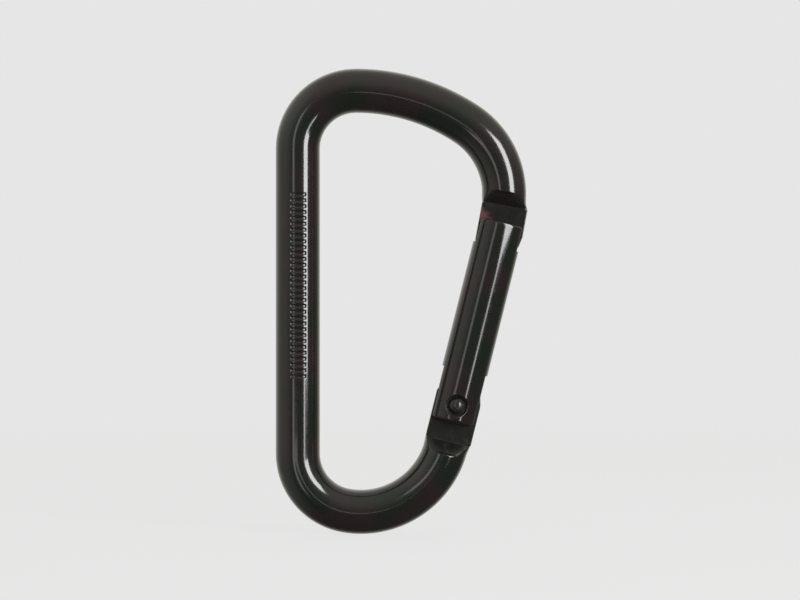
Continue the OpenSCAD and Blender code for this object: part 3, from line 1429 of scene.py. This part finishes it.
@dataclass
class GateSpring:
    """The coil spring between the plunger's shoulder and the end of the bore."""

    layout: Layout
    coil_r: float = 1.0 * MM
    wire_r: float = 0.18 * MM
    low: float = 8.62 * MM
    high: float = 18.78 * MM
    turns: int = 12
    end_rise: float = 0.378 * MM
    steps: int = 48
    sides: int = 12
    anchor_height: float = 19 * MM
    shortest: float = 0.886

    def _height(self, turn: float) -> float:
        """Height of the wire's middle.

        Args:
            turn: How many turns from the plunger's end.

        Returns:
            The height, with one closed turn at each end.
        """
        if turn < 1:
            return self.low + self.end_rise * turn
        if turn > self.turns - 1:
            return self.high - self.end_rise * (self.turns - turn)
        pitch = (self.high - self.low - 2 * self.end_rise) / (self.turns - 2)
        return self.low + self.end_rise + pitch * (turn - 1)

    def build(self, material: bpy.types.Material) -> bpy.types.Object:
        """Makes and dresses the spring.

        Args:
            material: Its wire.

        Returns:
            The spring.
        """
        rings = self.turns * self.steps + 1
        rows = []
        for i in range(rings):
            turn = i / self.steps
            angle = 2 * math.pi * turn
            for k in range(self.sides):
                side = 2 * math.pi * k / self.sides
                radius = self.coil_r + self.wire_r * math.cos(side)
                height = self._height(turn) + self.wire_r * math.sin(side)
                rows.append((radius * math.cos(angle), radius * math.sin(angle), height))
        rows += [(self.coil_r, 0.0, self.low), (self.coil_r, 0.0, self.high)]
        layout = self.layout
        points = layout.from_gate(np.array(rows))
        piece = add_piece("spring", points, ring_faces(rings, self.sides))
        hand_over(piece, Body.GATE, "gate_spring", material)
        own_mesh(piece)
        return piece


# ---------------------------------------------------------------------------------------------
# Studio
# ---------------------------------------------------------------------------------------------


@dataclass(frozen=True)
class Lamp:
    """A soft strip that faces the carabiner."""

    name: str
    azimuth: float
    elevation: float
    distance: float
    width: float
    height: float
    glow: float
    aim_z: float = 0.0

    def hang(self) -> None:
        """Puts the lamp up, facing the D at its own aim height."""
        target = Vector((0, 0, self.aim_z))
        light = bpy.data.lights.new(self.name, "AREA")
        light.shape = "RECTANGLE"
        light.size, light.size_y = self.width, self.height
        light.energy = self.glow * math.pi * self.width * self.height
        lamp = bpy.data.objects.new(self.name, light)
        bpy.context.scene.collection.objects.link(lamp)
        turn, rise = math.radians(self.azimuth), math.radians(self.elevation)
        away = Vector((
            math.sin(turn) * math.cos(rise), -math.cos(turn) * math.cos(rise), math.sin(rise)
        ))
        lamp.location = target + self.distance * away
        lamp.rotation_euler = away.to_track_quat("Z", "Y").to_matrix().to_4x4().to_euler()
        lamp.visible_camera = False


@dataclass
class Studio:
    """Pale floor, matching surroundings, strip lamps and the camera."""

    layout: Layout
    pale: float = 0.791
    lens: float = 100.0
    camera_distance: float = 382.1 * MM
    camera_x: float = -0.28 * MM
    camera_z: float = 0.22 * MM
    floor_r: float = 420 * MM
    floor_rings: int = 24
    floor_around: int = 96
    floor_share: float = 0.045
    floor_albedo: float = 0.055
    floor_roughness: float = 0.7
    grain: float = 0.02
    grain_size: float = 3 * MM
    low_glow: float = 0.14
    top_glow: float = 0.42
    left_glow: float = 0.30
    back_glow: float = 0.45
    glow_colour: Colour = (1.0, 0.98, 0.88)
    lamps: tuple[Lamp, ...] = (
        Lamp("right_strip", 42, 0, 0.34, 0.125, 0.23, 13.0, aim_z=0.091),
        Lamp("right_low_strip", 35, 0, 0.34, 0.04, 0.09, 7.5, aim_z=-0.069),
        Lamp("left_strip", -22, 0, 0.40, 0.062, 0.30, 1.8),
        Lamp("low_strip", -9.5, -8, 0.42, 0.118, 0.018, 2.0),
    )

    def build(self) -> None:
        """Sets up the whole studio."""
        bpy.context.scene.view_settings.view_transform = "Standard"
        for lamp in self.lamps:
            lamp.hang()
        self._world()
        self._floor()
        self._camera()
        log.info("studio: %d lamps", len(self.lamps))

    def _world(self) -> None:
        """Makes the surroundings: an even pale background that reflects darker at the front."""
        world = bpy.data.worlds.new("surroundings")
        world.use_nodes = True
        bpy.context.scene.world = world
        shop = PaintShop(world.node_tree)
        direction = shop.node("TexCoord", output="Generated")
        x, y, z = (shop.node("SeparateXYZ", {}, {0: direction}, axis) for axis in "XYZ")
        above = z.band(-0.35, 0.95) * self.top_glow
        left = x.band(-0.35, -0.95) * self.left_glow
        behind = y.band(0.30, 0.95) * self.back_glow
        glow = (above + left + behind + self.low_glow).band(0.0, 1.0)
        warm = shop.blend(glow, (0, 0, 0, 1), (*self.glow_colour, 1))
        seen = shop.node("LightPath", output="Is Camera Ray")
        colour = shop.blend(seen, warm, (self.pale, self.pale, self.pale, 1))
        background = shop.node("Background", {}, {"Color": colour, "Strength": 1.0})
        shop.node("OutputWorld", {}, {"Surface": background})

    def _floor(self) -> None:
        """Makes the floor under the D, which fades into the background."""
        rings, around = self.floor_rings, self.floor_around
        rows = []
        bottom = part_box("frame")[0].z
        for i in range(1, rings + 1):
            reach = self.floor_r * (i / rings) ** 1.5
            for k in range(around):
                turn = 2 * math.pi * k / around
                rows.append((reach * math.cos(turn), reach * math.sin(turn), bottom))
        faces = ring_faces(rings, around, closed_ends=False)
        rows.append((0.0, 0.0, bottom))
        faces += [(rings * around, k, (k + 1) % around) for k in range(around)]
        floor = add_piece("floor", np.array(rows), faces)
        floor.visible_glossy = False
        material, shop = new_paint("pale_floor")
        place = shop.place()
        reach = shop.node("VectorMath", {"operation": "LENGTH"}, {0: place}, "Value")
        grain = shop.noise(self.grain_size, 3.0) * self.grain + (1 - self.grain / 2)
        shade = grain * self.floor_albedo
        grey = shop.node("CombineXYZ", {}, {0: shade, 1: shade, 2: shade})
        even = self.pale - self.floor_share
        shader = shop.node(
            "BsdfPrincipled",
            {},
            {
                "Base Color": grey,
                "Roughness": self.floor_roughness,
                "Specular IOR Level": 0.0,
                "Emission Color": (even, even, even, 1),
                "Emission Strength": 1.0,
            },
        )
        clear = shop.node("BsdfTransparent")
        fade = reach.band(0.45 * self.floor_r, 0.98 * self.floor_r)
        surface = shop.node("MixShader", {}, {0: fade, 1: shader, 2: clear})
        shop.node("OutputMaterial", {}, {"Surface": surface})
        floor.data.materials.append(material)

    def _camera(self) -> None:
        """Puts the camera square in front of the D."""
        data = bpy.data.cameras.new("camera")
        data.lens = self.lens
        data.clip_start, data.clip_end = 0.01, 20.0
        camera = bpy.data.objects.new("camera", data)
        bpy.context.scene.collection.objects.link(camera)
        camera.location = (self.camera_x, -self.camera_distance, self.camera_z)
        camera.rotation_euler = (math.pi / 2, 0, 0)
        bpy.context.scene.camera = camera


def main() -> None:
    """Builds every piece in order, then the studio."""
    logging.basicConfig(level=logging.INFO, format="%(name)s: %(message)s")
    layout = Layout()
    up = layout.gate_axis
    FrameRod(layout).build(Coating("black_frame_coat").build())
    GateRod(layout).build(Coating("black_gate_coat", gloss=0.13, coat=0.4).build())
    rivet_steel = Steel(
        "blackened_rivet_steel", (0.022, 0.021, 0.019), (0.045, 0.040, 0.036), 0.11, 0.35,
        0.12 * MM, 0.0012 * MM, (0.0, 1.0, 0.0),
    )
    HingeRivet(layout).build(rivet_steel.build())
    plunger_steel = Steel(
        "turned_plunger_steel", (0.52, 0.51, 0.49), (0.38, 0.36, 0.33), 0.24, 1.0,
        0.05 * MM, 0.002 * MM, up,
    )
    SpringPlunger(layout).build(plunger_steel.build())
    wire = Steel(
        "drawn_spring_wire", (0.60, 0.59, 0.57), (0.42, 0.40, 0.37), 0.28, 1.0,
        0.08 * MM, 0.001 * MM, (0.0, 1.0, 0.0),
    )
    GateSpring(layout).build(wire.build())
    Studio(layout).build()


if __name__ == "__main__":
    main()
